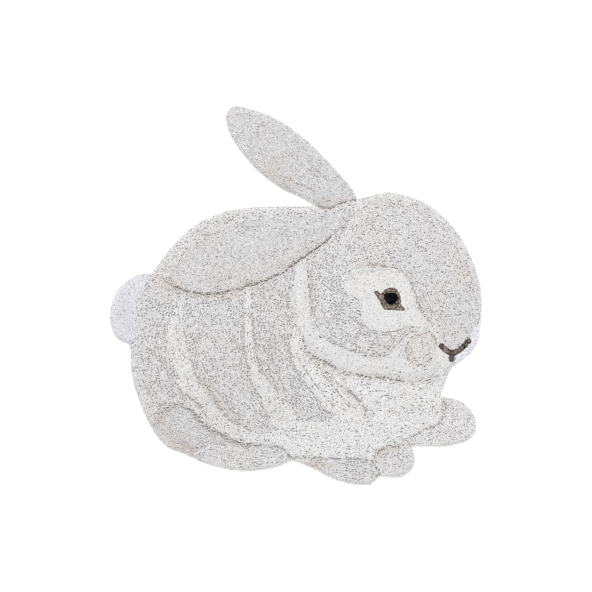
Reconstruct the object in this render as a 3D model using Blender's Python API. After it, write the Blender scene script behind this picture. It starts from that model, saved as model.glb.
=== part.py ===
"""Tufted cotton rug in the shape of a crouching rabbit, lying flat and seen from above with its nose at +X.

The rug is one tufted panel: a single closed solid whose top follows the pile, with its high and low fields,
its raised stripes and the grooves that the maker carves between the fields. The underside is flat on Z = 0.
The pattern is drawn on a grid of squares, as a rug maker enlarges a sketch, with (0, 0) near the rug's middle.
"""

import math

import bmesh
import bpy
import numpy as np
from mathutils import Vector, noise
from mathutils.geometry import delaunay_2d_cdt, interpolate_bezier

# Driving sizes, in metres
RUG_WIDTH = 1.05
SQUARES_ACROSS = 37.2
SQUARE = RUG_WIDTH / SQUARES_ACROSS

# The pattern square that lies over the middle of the rug's box
MIDDLE_X = 0.007
MIDDLE_Y = 0.176

# Pile heights over the floor, the backing cloth included
BODY_PILE = 0.0165
EAR_PILE = 0.0155
RESTING_EAR_PILE = 0.0185
TAIL_PILE = 0.0175
LOW_PILE = 0.0110
MASK_PILE = 0.0135
SPOT_PILE = 0.0160
PAW_PILE = 0.0145
STRIPE_GAIN = 0.0030
LUMP_HEIGHT = 0.0009
LUMP_SIZE = 0.035

# The rounded rim of the pile, and how far the backing stands back under it
RIM_RADIUS = 0.011
RIM_SHARE = 0.42
BACKING_INSET = 0.004

# How the surface is divided: steps along lines and between free points, and the least gap between points
RIM_STEP = 0.0105
RIM_ROWS = (0.1, 0.4, 1.0)
GROOVE_STEP = 0.0075
LINE_STEP = 0.0120
FREE_STEP = 0.0240
LEAST_GAP = 0.0042
FIELD_EDGE = 0.0048
FINE_STEP = 0.003

PILE_COLOUR = (0.68, 0.67, 0.66, 1.0)

# The outline, in pattern squares, section by section. Each section is one smooth line and ends in a corner.
OUTLINE = {
    "raised ear": [
        (2.4, 9.1), (0.45, 10.1), (-1.55, 11.05), (-3.5, 12.5), (-5.05, 14.15), (-6.35, 16.0), (-6.95, 17.75),
        (-6.65, 18.95), (-5.3, 19.05), (-2.2, 18.0), (1.25, 15.6), (3.9, 12.85), (5.65, 10.85), (6.15, 9.8),
    ],
    "crown, nose and chin": [
        (6.15, 9.8), (8.0, 10.3), (9.75, 10.5), (13.4, 9.2), (16.45, 6.15), (18.15, 2.45), (18.6, 0.3),
        (18.45, -3.25), (18.0, -5.0), (16.45, -6.45), (15.45, -7.3), (15.05, -8.45), (14.5, -9.9),
    ],
    "far paw": [
        (14.5, -9.9), (16.75, -10.55), (18.05, -12.35), (17.65, -14.05), (15.05, -14.9), (11.5, -14.9),
    ],
    "middle paw": [(11.5, -14.9), (11.95, -16.4), (11.3, -17.6), (10.0, -18.05), (8.5, -17.9)],
    "near paw, hind foot and rump": [
        (8.5, -17.9), (7.35, -18.75), (4.45, -18.4), (1.45, -17.0), (-0.4, -16.4), (-1.75, -16.95),
        (-5.05, -17.4), (-8.55, -16.8), (-11.4, -15.6), (-12.75, -15.05), (-14.05, -13.75), (-15.4, -11.05),
        (-16.4, -7.85), (-16.6, -4.55),
    ],
    "tail": [
        (-16.6, -4.55), (-17.2, -4.5), (-18.1, -3.8), (-18.6, -1.65), (-17.75, 0.8), (-15.9, 2.2),
        (-14.45, 2.3),
    ],
    "back": [(-14.45, 2.3), (-12.35, 5.2), (-9.35, 7.7), (-5.55, 8.9), (-0.55, 9.15), (2.4, 9.1)],
}

# Fields of another pile height, as closed smooth loops in pattern squares. Where a loop leaves the rug,
# the outline cuts it.
FIELDS = {
    "raised ear": (EAR_PILE, [
        (2.3, 8.9), (3.3, 8.85), (4.4, 9.35), (5.5, 9.65), (6.6, 10.1), (6.0, 13.2), (1.5, 17.4),
        (-4.5, 20.4), (-8.5, 19.5), (-7.6, 15.0), (-3.4, 11.0),
    ]),
    "resting ear": (RESTING_EAR_PILE, [
        (4.9, 7.5), (3.4, 8.3), (0.3, 8.35), (-2.5, 8.0), (-5.0, 7.45), (-7.4, 6.4), (-9.4, 5.15), (-11.3, 3.9),
        (-12.35, 2.8), (-12.1, 1.35), (-11.1, 0.75), (-9.3, 0.4), (-7.3, 0.5), (-5.3, 1.0), (-3.4, 1.6),
        (-1.2, 2.6), (0.6, 3.85), (2.4, 5.1), (4.2, 6.7),
    ]),
    "tail": (TAIL_PILE, [
        (-14.3, 2.5), (-15.0, 0.9), (-15.75, -0.6), (-15.9, -2.5), (-16.5, -4.6), (-18.5, -5.5), (-20.0, -1.5),
        (-18.5, 2.5), (-16.0, 3.6),
    ]),
    "face mask": (MASK_PILE, [
        (4.5, 1.4), (5.7, 2.6), (8.0, 2.95), (10.4, 2.9), (11.6, 1.9), (12.2, 0.5), (12.6, -1.0), (13.8, -2.8),
        (12.4, -3.7), (11.3, -3.0), (10.2, -3.2), (8.7, -3.6), (7.2, -3.0), (6.4, -1.7), (6.2, -0.4),
        (5.1, 0.4),
    ]),
    "knee": (LOW_PILE, [
        (-13.6, -11.4), (-12.3, -10.9), (-10.8, -11.0), (-9.8, -12.1), (-8.7, -13.1), (-7.0, -13.9),
        (-5.2, -14.7), (-7.0, -14.9), (-9.3, -14.9), (-10.2, -15.6), (-12.3, -17.0), (-14.9, -14.5),
        (-14.2, -12.6),
    ]),
    "muzzle spot": (SPOT_PILE, [
        (13.3, -3.4), (12.0, -3.7), (11.2, -4.5), (10.95, -5.6), (11.4, -6.5), (12.2, -7.0), (13.2, -6.7),
        (13.9, -5.6), (14.0, -4.2),
    ]),
    "hind foot": (PAW_PILE, [
        (-1.7, -14.9), (-0.9, -15.3), (-0.4, -16.4), (-1.5, -18.0), (-6.0, -18.4), (-10.4, -17.2),
        (-9.6, -15.5), (-8.5, -15.0), (-5.0, -15.0),
    ]),
    "near paw": (PAW_PILE, [
        (-0.6, -16.0), (2.0, -16.0), (4.5, -16.15), (7.2, -16.2), (8.1, -17.0), (8.7, -18.4), (7.0, -19.8),
        (2.5, -19.0), (-0.5, -17.0),
    ]),
    "middle paw": (PAW_PILE, [
        (8.0, -16.6), (8.3, -15.5), (9.5, -14.9), (10.6, -15.15), (12.3, -14.7), (13.0, -16.5), (11.0, -18.8),
        (8.6, -18.4),
    ]),
    "far paw": (PAW_PILE, [
        (10.6, -14.4), (12.0, -13.7), (13.5, -13.2), (14.5, -12.4), (15.1, -11.3), (15.0, -9.6), (17.0, -9.6),
        (19.2, -12.0), (18.6, -15.0), (15.0, -16.0), (11.0, -15.4),
    ]),
}

# Raised stripes: the middle line and the half width at each point, in pattern squares
STRIPES = {
    "haunch stripe": [
        (-11.25, -0.15, 0.2), (-11.75, -1.5, 0.5), (-12.05, -3.25, 0.75), (-11.85, -5.05, 0.95),
        (-11.35, -6.85, 1.0), (-10.65, -8.65, 1.0), (-9.55, -10.45, 0.9), (-8.35, -11.85, 0.75),
        (-6.95, -13.05, 0.7), (-5.25, -13.9, 0.65), (-3.35, -14.15, 0.5), (-1.05, -13.95, 0.5),
    ],
    "rib stripe": [
        (-4.75, 0.95, 0.25), (-4.75, -0.75, 0.3), (-4.75, -2.75, 0.35), (-4.65, -4.75, 0.45),
        (-4.35, -6.45, 0.5), (-3.85, -8.05, 0.7), (-3.05, -9.45, 0.9), (-2.05, -10.85, 1.1),
    ],
    "jaw ruff": [
        (0.6, 3.6, 0.3), (0.5, 1.75, 0.6), (0.4, 0.2, 0.8), (0.65, -1.4, 0.7), (1.4, -3.8, 0.8),
        (3.4, -5.6, 1.05), (5.45, -6.45, 1.0), (7.45, -6.9, 0.95), (10.45, -7.35, 0.9), (13.5, -7.3, 0.5),
    ],
    "shoulder stripe": [
        (-0.1, -2.4, 0.35), (0.05, -4.05, 0.6), (0.75, -5.75, 0.85), (1.55, -7.35, 1.0), (2.55, -8.95, 1.2),
        (3.75, -10.35, 1.3),
    ],
}

# Carved grooves: the depth and the half width in metres, and the line in pattern squares
GROOVES = {
    "under the resting ear": (0.0095, 0.0050, [
        (-12.4, 2.4), (-12.15, 1.4), (-11.1, 0.75), (-9.3, 0.4), (-7.3, 0.5), (-5.3, 1.0), (-3.4, 1.6),
        (-1.2, 2.6), (0.6, 3.85), (2.4, 5.1), (4.2, 6.8), (4.9, 7.3),
    ]),
    "base of the raised ear": (0.0075, 0.0045, [
        (2.4, 9.1), (3.3, 8.85), (4.4, 9.35), (5.5, 9.65), (6.15, 9.8),
    ]),
    "under the chin": (0.0065, 0.0060, [
        (2.6, -6.3), (4.2, -7.15), (6.2, -7.75), (8.8, -8.1), (11.4, -8.5), (13.2, -8.1), (15.1, -7.75),
    ]),
    "neck fold": (0.0055, 0.0060, [
        (0.8, -4.3), (2.2, -6.4), (3.9, -8.2), (5.7, -9.7), (7.1, -11.3),
    ]),
    "over the near paw": (0.0055, 0.0045, [
        (-0.6, -15.95), (2.0, -16.0), (4.5, -16.15), (7.2, -16.2), (8.1, -17.0), (8.5, -17.9),
    ]),
    "over the middle paw": (0.0050, 0.0045, [
        (7.95, -16.3), (8.3, -15.5), (9.5, -14.9), (10.6, -15.15),
    ]),
    "behind the far paw": (0.0050, 0.0050, [
        (10.6, -14.4), (12.0, -13.7), (13.5, -13.2), (14.5, -12.4), (15.1, -11.3), (15.0, -10.3),
    ]),
    "front of the hind foot": (0.0055, 0.0045, [(-1.7, -14.9), (-0.9, -15.3), (-0.5, -16.4)]),
    "over the knee": (0.0050, 0.0050, [
        (-13.4, -11.3), (-12.2, -10.9), (-10.8, -10.95), (-9.8, -12.1), (-8.7, -13.1), (-7.0, -13.9),
        (-5.2, -14.7), (-3.6, -14.85), (-1.7, -14.9),
    ]),
    "along the cheek": (0.0045, 0.0045, [
        (1.25, 3.4), (1.4, 1.5), (1.5, -0.5), (1.6, -2.4), (2.7, -4.15), (4.0, -4.85), (5.6, -5.4),
        (7.5, -5.9), (9.2, -5.7),
    ]),
    "brow of the mask": (0.0035, 0.0045, [
        (8.0, 2.95), (10.4, 2.9), (11.6, 1.9), (12.2, 0.5), (12.6, -1.0), (13.6, -2.5),
    ]),
    "round the muzzle spot": (0.0035, 0.0045, [
        (13.9, -5.6), (13.2, -6.7), (12.2, -7.0), (11.4, -6.5), (10.95, -5.6), (11.2, -4.5), (12.0, -3.7),
        (13.3, -3.4), (14.0, -4.2), (13.9, -5.6),
    ]),
}


def on_the_rug(x, y):
    """The place in metres of a point on the pattern's squares."""
    return (x - MIDDLE_X) * SQUARE, (y - MIDDLE_Y) * SQUARE


def smooth_line(points, closed=False):
    """The fine points, in metres, of a smooth line through hand-set points of the pattern."""
    knots = [Vector((*on_the_rug(x, y), 0.0)) for x, y in points]
    count = len(knots)

    def tangent(index):
        if closed:
            return (knots[(index + 1) % count] - knots[index - 1]).normalized()
        before, after = max(index - 1, 0), min(index + 1, count - 1)
        return (knots[after] - knots[before]).normalized()

    line = []
    for index in range(count if closed else count - 1):
        start, end = knots[index], knots[(index + 1) % count]
        reach = (end - start).length / 3
        handle = start + tangent(index) * reach
        other_handle = end - tangent((index + 1) % count) * reach
        steps = max(2, math.ceil(3 * reach / FINE_STEP))
        line += interpolate_bezier(start, handle, other_handle, end, steps + 1)[:-1]
    if not closed:
        line.append(knots[-1])
    return np.array([(p.x, p.y) for p in line])


def evenly_spaced(line, step, closed=False, between=False):
    """Points at equal steps along a line, both ends of an open one kept, or the points halfway between them."""
    path = np.vstack([line, line[:1]]) if closed else line
    along = np.concatenate([[0.0], np.cumsum(np.linalg.norm(np.diff(path, axis=0), axis=1))])
    count = max(2, round(along[-1] / step))
    stops = np.linspace(0.0, along[-1], count + 1)
    if between:
        stops = (stops[:-1] + stops[1:]) / 2
    elif closed:
        stops = stops[:-1]
    return np.column_stack([np.interp(stops, along, path[:, axis]) for axis in (0, 1)])


def left_normals(line, closed=False):
    """The unit normals to the left of a line's direction."""
    if closed:
        run = np.roll(line, -1, axis=0) - np.roll(line, 1, axis=0)
    else:
        run = np.gradient(line, axis=0)
    run /= np.linalg.norm(run, axis=1)[:, None]
    return np.column_stack([-run[:, 1], run[:, 0]])


def distance_along(places, line, closed=False):
    """How far each place is from a line, and where along the line its nearest point lies, from 0 to 1."""
    ends = np.roll(line, -1, axis=0) if closed else line[1:]
    starts = line if closed else line[:-1]
    run = ends - starts
    nearest = np.full(len(places), np.inf)
    where = np.zeros(len(places))
    for index, (start, vector) in enumerate(zip(starts, run)):
        offset = places - start
        share = np.clip(offset @ vector / (vector @ vector), 0.0, 1.0)
        gap = np.linalg.norm(offset - share[:, None] * vector, axis=1)
        closer = gap < nearest
        nearest[closer] = gap[closer]
        where[closer] = (index + share[closer]) / len(run)
    return nearest, where


def is_inside(places, loop):
    """Whether each place lies inside a closed loop, by counting the edges to its right."""
    inside = np.zeros(len(places), bool)
    for (x, y), (next_x, next_y) in zip(loop, np.roll(loop, -1, axis=0)):
        crosses = (places[:, 1] < y) != (places[:, 1] < next_y)
        if crosses.any():
            edge_x = x + (places[:, 1] - y) * (next_x - x) / (next_y - y)
            inside ^= crosses & (places[:, 0] < edge_x)
    return inside


def eased(share):
    """A soft step from 0 to 1."""
    share = np.clip(share, 0.0, 1.0)
    return share * share * (3 - 2 * share)


def outline_loop():
    """The rug's outline as one closed loop, clockwise, with its corners kept."""
    sections = [evenly_spaced(smooth_line(points), RIM_STEP)[:-1] for points in OUTLINE.values()]
    return np.vstack(sections)


def stripe_line(rows):
    """A stripe's middle line and its half width at each fine point."""
    line = smooth_line([(x, y) for x, y, _ in rows])
    knots = np.array([on_the_rug(x, y) for x, y, _ in rows])
    places = distance_along(knots, line)[1]
    widths = np.interp(np.linspace(0.0, 1.0, len(line)), places, [w * SQUARE for _, _, w in rows])
    return line, widths


def pile_height(places, outline):
    """The height of the pile's top at each place."""
    height = np.full(len(places), BODY_PILE)
    for field_height, points in FIELDS.values():
        loop = smooth_line(points, closed=True)
        gap = distance_along(places, loop, closed=True)[0]
        depth = np.where(is_inside(places, loop), gap, -gap)
        height += (field_height - height) * eased((depth + FIELD_EDGE) / (2 * FIELD_EDGE))
    for rows in STRIPES.values():
        line, widths = stripe_line(rows)
        gap, where = distance_along(places, line)
        half_width = np.interp(where, np.linspace(0.0, 1.0, len(line)), widths)
        height += STRIPE_GAIN * eased(1.25 - gap / half_width)
    for depth, half_width, points in GROOVES.values():
        gap = distance_along(places, smooth_line(points))[0]
        height -= depth * np.clip(1 - (gap / half_width) ** 2, 0.0, 1.0)
    lumps = [noise.noise(Vector((x, y, 0.0)) / LUMP_SIZE) for x, y in places]
    height += LUMP_HEIGHT * np.array(lumps)
    from_rim = distance_along(places, outline, closed=True)[0]
    inward = np.clip(from_rim / RIM_RADIUS, 0.0, 1.0)
    return height * (RIM_SHARE + (1 - RIM_SHARE) * np.sqrt(1 - (1 - inward) ** 2))


def relief_points():
    """The points that carry the relief: beside field edges, on and beside grooves and stripes."""
    groups = []
    for _, half_width, points in GROOVES.values():
        fine = smooth_line(points)
        beside = evenly_spaced(fine, GROOVE_STEP, between=True)
        sideways = left_normals(beside) * half_width
        groups += [evenly_spaced(fine, GROOVE_STEP), beside + sideways, beside - sideways]
    for rows in STRIPES.values():
        fine, widths = stripe_line(rows)
        line = evenly_spaced(fine, LINE_STEP)
        where = distance_along(line, fine)[1]
        half_width = np.interp(where, np.linspace(0.0, 1.0, len(fine)), widths)
        sideways = left_normals(line) * half_width[:, None]
        groups += [line, line + sideways, line - sideways]
    for _, points in FIELDS.values():
        loop = evenly_spaced(smooth_line(points, closed=True), LINE_STEP, closed=True)
        sideways = left_normals(loop, closed=True) * FIELD_EDGE
        groups += [loop + sideways, loop - sideways]
    return np.vstack(groups)


def free_points():
    """A staggered grid of points over the whole rug."""
    row_step = FREE_STEP * math.sqrt(3) / 2
    reach = 20 * SQUARE
    rows = range(-math.ceil(reach / row_step), math.ceil(reach / row_step))
    columns = np.arange(-reach, reach, FREE_STEP)
    return np.vstack([
        np.column_stack([columns + (row % 2) * FREE_STEP / 2, np.full(len(columns), row * row_step)])
        for row in rows
    ])


def thinned(groups, gaps):
    """The points of several groups, the first groups first, each kept only if no kept one is too near."""
    cell = max(gaps)
    taken = {}
    kept = []
    for points, gap in zip(groups, gaps):
        for place in points:
            column, row = math.floor(place[0] / cell), math.floor(place[1] / cell)
            near = [
                other
                for i in (-1, 0, 1)
                for j in (-1, 0, 1)
                for other in taken.get((column + i, row + j), ())
            ]
            if all(math.dist(place, other) >= gap for other in near):
                taken.setdefault((column, row), []).append(place)
                kept.append(place)
    return np.array(kept)


def surface_points(outline):
    """Every point of the pile's top inside the outline: the rounded rim, the relief and the free points."""
    inward = -left_normals(outline, closed=True)
    rows = [outline + inward * RIM_RADIUS * share for share in RIM_ROWS]
    row_gaps = [min(0.9 * RIM_RADIUS * share, LEAST_GAP) for share in RIM_ROWS]
    groups = [outline, *rows, relief_points(), free_points()]
    points = thinned(groups, [0.0, *row_gaps, LEAST_GAP, FREE_STEP * 0.62])[len(outline):]
    clear_of_rim = distance_along(points, outline, closed=True)[0] > row_gaps[0]
    return points[is_inside(points, outline) & clear_of_rim]


def build_panel():
    """The tufted panel as one closed mesh: the pile's top, the undercut rim and the flat underside."""
    outline = outline_loop()
    inner = surface_points(outline)
    places = np.vstack([outline, inner])
    rim_face = [list(range(len(outline)))]
    flat, _, faces, *_ = delaunay_2d_cdt([Vector(p) for p in places], [], rim_face, 1, 1e-7)
    flat = np.array([(p.x, p.y) for p in flat])
    heights = pile_height(flat, outline)

    shape = bmesh.new()
    corners = [shape.verts.new((x, y, z)) for (x, y), z in zip(flat, heights)]
    for face in faces:
        shape.faces.new([corners[index] for index in face])
    shape.normal_update()
    if sum(face.normal.z for face in shape.faces) < 0:
        bmesh.ops.reverse_faces(shape, faces=shape.faces[:])

    rim = [edge for edge in shape.edges if edge.is_boundary]
    grown = bmesh.ops.extrude_edge_only(shape, edges=rim)["geom"]
    foot = {item for item in grown if isinstance(item, bmesh.types.BMVert)}
    inset = outline - left_normals(outline, closed=True) * BACKING_INSET
    for corner in foot:
        index = int(np.argmin(np.linalg.norm(outline - np.array(corner.co[:2]), axis=1)))
        corner.co = (*inset[index], 0.0)
    underside = [item for item in grown if isinstance(item, bmesh.types.BMEdge)]
    bmesh.ops.contextual_create(shape, geom=[edge for edge in underside if set(edge.verts) <= foot])
    bmesh.ops.recalc_face_normals(shape, faces=shape.faces[:])

    mesh = bpy.data.meshes.new("rabbit_rug")
    shape.to_mesh(mesh)
    shape.free()
    mesh.shade_smooth()
    mesh.set_sharp_from_angle(angle=math.radians(50))
    return mesh


def cotton_material():
    """Undyed cotton yarn."""
    material = bpy.data.materials.new("cotton_pile")
    material.use_nodes = True
    shader = material.node_tree.nodes["Principled BSDF"]
    shader.inputs["Base Color"].default_value = PILE_COLOUR
    shader.inputs["Roughness"].default_value = 0.95
    shader.inputs["Metallic"].default_value = 0.0
    return material


def main():
    for thing in list(bpy.data.objects):
        bpy.data.objects.remove(thing)
    collection = bpy.data.collections.new("rabbit_rug")
    bpy.context.scene.collection.children.link(collection)
    panel = bpy.data.objects.new("rabbit_rug", build_panel())
    panel.data.materials.append(cotton_material())
    collection.objects.link(panel)


main()
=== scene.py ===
"""A tufted cotton rug in the shape of a crouching rabbit, lying pile up on a pale floor and seen from above.

The pile is made the way the rug is: every tuft of yarn is set into the backing in rows that follow the edges
of its field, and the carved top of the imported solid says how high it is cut. The pattern is drawn on a grid
of squares, with +X towards the nose and +Y towards the raised ear. Lengths are in metres if nothing is said.
"""

import math

import bmesh
import bpy
import numpy as np
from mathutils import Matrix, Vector, noise
from mathutils.bvhtree import BVHTree
from mathutils.geometry import interpolate_bezier
from mathutils.kdtree import KDTree


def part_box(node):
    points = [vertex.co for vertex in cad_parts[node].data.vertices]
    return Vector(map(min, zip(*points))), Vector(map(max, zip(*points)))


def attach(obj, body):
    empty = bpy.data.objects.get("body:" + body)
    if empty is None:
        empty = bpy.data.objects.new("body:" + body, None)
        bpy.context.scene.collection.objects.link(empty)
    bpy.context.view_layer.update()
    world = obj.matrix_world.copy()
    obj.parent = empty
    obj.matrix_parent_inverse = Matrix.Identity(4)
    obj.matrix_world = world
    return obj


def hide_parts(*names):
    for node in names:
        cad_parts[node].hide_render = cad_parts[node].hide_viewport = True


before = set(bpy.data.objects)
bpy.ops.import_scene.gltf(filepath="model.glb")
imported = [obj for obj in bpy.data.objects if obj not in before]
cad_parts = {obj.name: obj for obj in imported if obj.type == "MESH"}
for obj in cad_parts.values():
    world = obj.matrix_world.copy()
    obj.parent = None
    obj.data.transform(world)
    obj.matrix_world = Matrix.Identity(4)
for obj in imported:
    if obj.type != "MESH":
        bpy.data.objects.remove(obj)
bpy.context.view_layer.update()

# The pattern's squares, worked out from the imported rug's box: how many it is across, and its middle on them
RUG_LOW, RUG_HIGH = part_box("rabbit_rug")
SQUARES_ACROSS = 37.229
SQUARE = (RUG_HIGH.x - RUG_LOW.x) / SQUARES_ACROSS
MIDDLE_X = 0.007
MIDDLE_Y = 0.176

# The view: how many squares the picture is across, its middle on them, and the camera
PICTURE_SQUARES = 59.2
PICTURE_X = 0.05
PICTURE_Y = 0.15
CAMERA_HEIGHT = 3.5
SENSOR = 36.0

# The studio: its floor, a hair under the rug, and the broad soft light from beyond the raised ear
FLOOR_RADIUS = 12.0
FLOOR_HEIGHT = -0.0005
WINDOW_PLACE = Vector((-0.3, 1.7, 2.7))
WINDOW_LENGTH = 3.0
WINDOW_WIDTH = 1.2
WINDOW_POWER = 75.0

# The grid on which the fields are laid out: its cell, and in cells its margin round the rug, how far the edge
# of a field, the rug's rim and a groove reach, and the border of the finer grid that spaces the tufts
CELL = 0.00125
GRID_MARGIN = 4
EDGE_REACH = 64
RIM_REACH = 16
GROOVE_REACH = 5
FINE_CELL = CELL / 2
FINE_BORDER = 20

# The backing, the bed of packed yarn on it, which fills a share of the pile's height, and the roots and the
# least height of the tufts
BACKING_THICKNESS = 0.002
BED_SHARE = 0.66
BED_INSET = 0.003
BED_ON_BACKING = 0.0002
TUFT_ROOT = 0.0018
LEAST_TUFT = 0.003

# How the yarn is cut in each kind of pile: the distance between rows, the tuft's half width and half length
# as shares of it, how far its tip stands above its shoulder, the share of places where the pile has parted,
# how far tufts stray from their rows, how much their heights and tones differ, and how much darker they are
# at the edge of their field
CUT_COLUMNS = ("pitch", "width", "length", "dome", "holes", "stray", "uneven", "tones", "edge")
CUTS = {
    "coarse": (0.0042, 0.70, 0.77, 0.0008, 0.60, 0.08, 0.0003, 0.05, 0.0),
    "brushed": (0.0042, 0.70, 0.77, 0.0007, 0.36, 0.08, 0.0003, 0.05, 0.0),
    "medium": (0.0041, 0.71, 0.78, 0.0006, 0.16, 0.08, 0.0002, 0.04, 0.0),
    "fine": (0.0039, 0.68, 0.75, 0.0006, 0.07, 0.08, 0.0003, 0.06, 0.0),
    "short": (0.0040, 0.67, 0.74, 0.0006, 0.34, 0.08, 0.0003, 0.04, 0.0),
    "smooth": (0.0040, 0.76, 0.83, 0.0003, 0.02, 0.05, 0.0001, 0.03, 0.0),
    "finest": (0.0032, 0.80, 0.86, 0.0004, 0.0, 0.05, 0.0004, 0.74, 0.6),
}
# The least distance between two tufts when they are set and once evened out, in pitches, the rounds of
# evening out before and after the pile has parted, and the share of the way that tufts move in each
SET_GAP = 0.80
EVEN_GAP = 1.25
EVENING_ROUNDS = 2
CLOSING_ROUNDS = 2
EVENING_STEP = 0.35
# Where rows form: how steeply the distance to an edge has to rise, and in pitches how far a tuft may be off
# its row, and how wide a strip along the edge takes no other tuft
ROW_SLOPE = 0.5
ROW_SLACK = 0.2
ROW_STRIP = 0.4
# Where the pile has parted: the least distance between such places, the share of them that run on to the next
# tuft of their row, and how far from the rim they begin and take to become as many as elsewhere
HOLE_DISTANCE = 0.0070
RUN_SHARE = 0.35
HOLES_BEGIN = 0.003
HOLES_RAMP = 0.014
# Creases: the squares on either side in which such runs follow the crease, the share of its depth that it
# keeps on the whole, how much wider the painted warm shade beside it reaches than the crease, the greatest
# depth, the share of tufts missing at a depth of 1 and how near the rim that goes, the depth from which tufts
# keep to their rows, and how much lower they are cut and how much darker their colour is painted as shade,
# up to which depth
CREASE_REACH = 1.1
CREASE_KEEPS = 0.7
CREASE_WARM_SHADE_REACH = 1.7
DEEPEST = 1.4
CREASE_SHARE = 0.75
CREASE_RIM = 0.005
HELD_DEPTH = 0.15
CREASE_DROP = 0.0016
CREASE_SHADE = 0.16
DEEPEST_SHADED = 1.3
# The reach of darker edges, how open grooves are in general and in a crease, and the rim that stays round
DARK_EDGE = 0.005
GROOVE_OPEN = 0.05
GROOVE_CREASED = 0.7
GROOVE_RIM = 0.012
# How much tufts differ: the share of the usual straying in the first row of a field and of the rug, the lean
# of the tips in pitches, the turn off the row in radians, and how sides, widths, lengths and tones vary
EDGE_STRAY = 0.6
RIM_STRAY = 0.3
TIP_LEAN = 0.10
TURN = 0.35
RIM_TURN = 0.1
SIDE_VARIES = 0.06
WIDTH_VARIES = 0.11
LENGTH_VARIES = 0.08
TONE_VARIES = 0.8
# At the rug's rim: the neat first row, how far tips lean outwards and up to where, the outermost tufts and
# how much longer they are, and the strips of painted light on its shoulder and of painted shade at its edge:
# by how much, how far in, and how wide
RIM_ROW = 0.006
RIM_LEAN = 0.0016
RIM_LEAN_REACH = 0.009
OUTERMOST = 0.004
OUTERMOST_LENGTH = 1.25
RIM_LIGHT_AND_SHADE = [(0.09, 0.006, 0.005), (-0.03, 0.0, 0.003)]

# Soft noise over the rug: the size of its lumps, the layer of noise that they come from, and their strength
LUMPS = {
    "open grooves": (0.012, 1.3, 0.7),
    "broken creases": (0.011, 4.4, 1.1),
    "fine breaks": (0.005, 9.2, 1.0),
    "tones": (0.007, 7.7, 1.5),
    "clouds": (0.05, 3.1, 0.022),
    "small clouds": (0.012, 8.4, 0.012),
    "warmth": (0.09, 5.7, 0.18),
    "small warmth": (0.02, 2.2, 0.14),
    "shade and tint": (0.008, 6.6, 0.8),
}
# The warmth of all the yarn, and how strong the patches of painted warm shade and tint are on the whole
COMMON_WARMTH = 0.04
SHADE_AND_TINT_STRENGTH = 0.8

# The yarns: the colour, and the warmer colour that the yarn's own warmth and the painted warm shade mix in
YARNS = {
    "grey cotton": ((0.66, 0.652, 0.657), (0.62, 0.555, 0.49)),
    "natural cotton": ((0.783, 0.778, 0.78), (0.70, 0.66, 0.60)),
    "lavender white cotton": ((0.80, 0.79, 0.84), (0.76, 0.755, 0.765)),
    "beige cotton": ((0.69, 0.662, 0.648), (0.64, 0.57, 0.53)),
    "brown cotton": ((0.20, 0.158, 0.123), (0.16, 0.115, 0.085)),
    "dark brown cotton": ((0.15, 0.117, 0.093), (0.16, 0.115, 0.085)),
    "black cotton": ((0.006, 0.0055, 0.007), (0.02, 0.018, 0.016)),
}

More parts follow.
